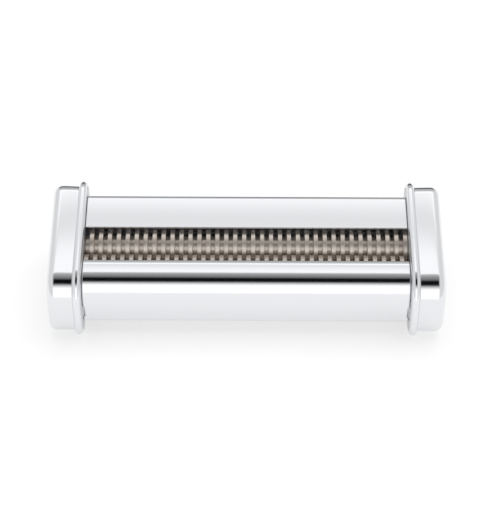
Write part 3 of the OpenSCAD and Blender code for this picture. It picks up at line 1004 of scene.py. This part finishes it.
@dataclass(frozen=True)
class Studio:
    """Pale floor, soft surroundings with two dark bands, a soft lamp and the camera.

    Attributes:
        bands: Brightness of the surroundings by their angle from the front horizon over the
            top to the back, -180 to 180.
        side_level: Brightness to the left and right.
        backdrop: Brightness that the camera sees past the floor.
        floor_r: Radius of the floor.
        floor_glow: Light that the floor gives by itself, which keeps the shadows faint.
        lamp_power: Strength of the soft lamp.
        lamp_spread: Angle that the soft lamp covers.
        lamp_tilt: Turns of the soft lamp about X and Y.
        target: The point that the camera looks at.
        distance: Its distance.
        elevation: Its height above the horizon.
        lens: Focal length in millimetres.
        roll: Turn of the picture.
        shift: Sideways shift of the frame.
    """

    bands: Stops = (
        (-180.0, 0.5), (-150.0, 0.75), (-100.0, 0.85), (-20.0, 0.95), (-5.0, 1.05), (0.0, 1.27),
        (39.0, 1.27), (41.5, 1.15), (44.0, 1.0), (48.0, 0.81), (52.0, 0.5), (59.0, 0.06),
        (60.5, 0.0), (75.5, 0.0), (79.0, 0.1), (84.0, 0.21), (89.6, 0.29), (95.0, 0.35),
        (101.0, 0.45), (106.0, 0.57), (109.5, 1.25), (113.4, 1.25), (114.4, 0.83),
        (117.2, 0.83), (119.0, 1.27), (130.0, 1.27), (134.0, 0.62), (160.0, 0.5), (167.0, 0.03),
        (180.0, 0.03),
    )
    side_level: float = 0.82
    backdrop: float = 0.93
    floor_r: float = 1.6
    floor_glow: float = 0.62
    lamp_power: float = 1.5
    lamp_spread: float = 60.0
    lamp_tilt: tuple[float, float] = (-12.0, 8.0)
    target: Vector = Vector((0.0, -15.3 * MM, 36.9 * MM))
    distance: float = 0.72
    elevation: float = 43.0
    lens: float = 115.66
    roll: float = 0.25
    shift: float = -0.0124

    def build(self) -> None:
        """Makes the floor, the surroundings, the lamp and the camera."""
        self._floor()
        self._surroundings()
        self._lamp()
        self._camera()

    def _floor(self) -> None:
        """A wide pale disc under the object."""
        bm = bmesh.new()
        bmesh.ops.create_circle(bm, cap_ends=True, segments=96, radius=self.floor_r)
        floor = finish_mesh(bm, "floor")
        material = bpy.data.materials.new("pale_floor")
        material.use_nodes = True
        sheet = NodeSheet(material.node_tree)
        place = sheet.add("ShaderNodeTexCoord").outputs["Object"]
        mottle = sheet.add("ShaderNodeTexNoise", {"Vector": place, "Scale": 9.0, "Detail": 4.0})
        color = sheet.add(
            "ShaderNodeMix",
            {0: mottle.outputs[0], 6: (0.34, 0.34, 0.34, 1.0), 7: (0.37, 0.37, 0.37, 1.0)},
            data_type="RGBA",
        )
        surface = sheet.add(
            "ShaderNodeBsdfPrincipled",
            {"Base Color": color.outputs[2], "Roughness": 0.9, "Specular IOR Level": 0.1,
             "Emission Color": (1.0, 1.0, 1.0, 1.0), "Emission Strength": self.floor_glow},
        )
        sheet.add("ShaderNodeOutputMaterial", {"Surface": surface.outputs[0]})
        floor.data.materials.append(material)

    def _surroundings(self) -> None:
        """A world whose brightness follows the angle over the object, from front to back."""
        world = bpy.data.worlds.new("studio")
        world.use_nodes = True
        bpy.context.scene.world = world
        sheet = NodeSheet(world.node_tree)
        aimed = sheet.add("ShaderNodeTexCoord").outputs["Generated"]
        parts = sheet.add("ShaderNodeSeparateXYZ", {0: aimed})
        x, y, z = (sheet.number(parts.outputs[i]) for i in range(3))
        angle = z.math("ARCTAN2", y * -1.0)
        ramp = sheet.add(
            "ShaderNodeValToRGB",
            {0: angle / math.tau + 0.5},
            stops=[(degrees / 360.0 + 0.5, level) for degrees, level in self.bands],
        )
        level = sheet.number(ramp.outputs[0])
        side = x.math("ABSOLUTE").between(0.3, 0.62)
        lit = level + (self.side_level - level) * side
        seen = sheet.number(sheet.add("ShaderNodeLightPath").outputs["Is Camera Ray"])
        strength = lit + (self.backdrop - lit) * seen
        glow = sheet.add("ShaderNodeBackground", {"Color": (1.0, 1.0, 1.0, 1.0), "Strength": strength})
        sheet.add("ShaderNodeOutputWorld", {"Surface": glow.outputs[0]})

    def _lamp(self) -> None:
        """A broad soft lamp that lights the floor and isn't mirrored in the plating."""
        data = bpy.data.lights.new("soft_lamp", "SUN")
        data.energy = self.lamp_power
        data.angle = math.radians(self.lamp_spread)
        lamp = bpy.data.objects.new("soft_lamp", data)
        lamp.rotation_euler = (*map(math.radians, self.lamp_tilt), 0.0)
        lamp.visible_glossy = False
        bpy.context.scene.collection.objects.link(lamp)

    def _camera(self) -> None:
        """A camera in front of the object, looking down at it."""
        data = bpy.data.cameras.new("camera")
        data.lens = self.lens
        data.shift_x = self.shift
        data.clip_start = 0.01
        camera = bpy.data.objects.new("camera", data)
        camera.location = self.target + aim(180.0 - self.elevation) * self.distance
        camera.rotation_euler = (math.radians(90.0 - self.elevation), 0.0, 0.0)
        camera.rotation_euler.rotate_axis("Z", math.radians(self.roll))
        bpy.context.scene.collection.objects.link(camera)
        bpy.context.scene.camera = camera
        bpy.context.scene.view_settings.view_transform = "Standard"


# -------------------------------------------------------------------------- main


def main() -> None:
    """Builds the studio, the modelled pieces and the finishes of the kept nodes."""
    logging.basicConfig(level=logging.INFO, format="%(name)s: %(message)s")
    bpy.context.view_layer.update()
    Studio().build()

    plate_low, plate_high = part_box("right_side_plate")
    cap_low, cap_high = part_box("right_end_cap")
    bead_proud = EndCap.bead_proud
    outline = SideOutline(
        half_depth=(cap_high.y - cap_low.y) / 2 - bead_proud,
        top=cap_high.z - bead_proud,
        bottom=cap_low.z + bead_proud,
    )
    screw_low, screw_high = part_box("right_cap_screws")
    posts = (
        Vector((0.0, screw_high.y - SCREW_HEAD_R, screw_high.z - SCREW_HEAD_R)),
        Vector((0.0, screw_low.y + SCREW_HEAD_R, screw_low.z + SCREW_HEAD_R)),
    )
    ring_low, ring_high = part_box("crank_guide_ring")
    shell = dict(outline=outline, end=cap_high.x, mouth=plate_high.x, bead_near=cap_low.x,
                 bead_far=cap_high.x - CAP_DEPTH, post_places=posts)
    EndCap(**shell).build("left_cap_shell", "left_end_cap", on_left=True)
    crank_place = (ring_low + ring_high) / 2
    crank_place.x = 0.0
    EndCap(**shell, hole_r=CRANK_HOLE_R, hole_place=crank_place).build(
        "right_cap_shell", "right_end_cap", on_left=False)

    guard_low, guard_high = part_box("rear_guard")
    front_low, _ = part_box("front_guard")
    half_len = plate_low.x - END_PLAY
    Guards(outline=outline, half_len=half_len, tab_half=guard_high.x, back=guard_high.y,
           slot_rear=SLOT_REAR_Y, slot_front=SLOT_FRONT_Y, face=front_low.y, foot=guard_low.z,
           tab_z=guard_low.z + TAB_RISE).build()

    for side, shift in (("rear", RING_SHIFT), ("front", -RING_SHIFT)):
        low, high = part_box(f"{side}_cutter_roller")
        CutterRoller(axis=Vector((0.0, (low.y + high.y) / 2, (low.z + high.z) / 2)),
                     left=low.x, right=high.x, barrel=half_len, shift=shift).build(
            f"{side}_roller_barrel", f"{side}_cutter_roller", f"{side}_roller")

    CarriedNodes(frozenset({"left_end_cap", "right_end_cap", "rear_guard", "front_guard",
                            "rear_cutter_roller", "front_cutter_roller"})).dress()


if __name__ == "__main__":
    main()
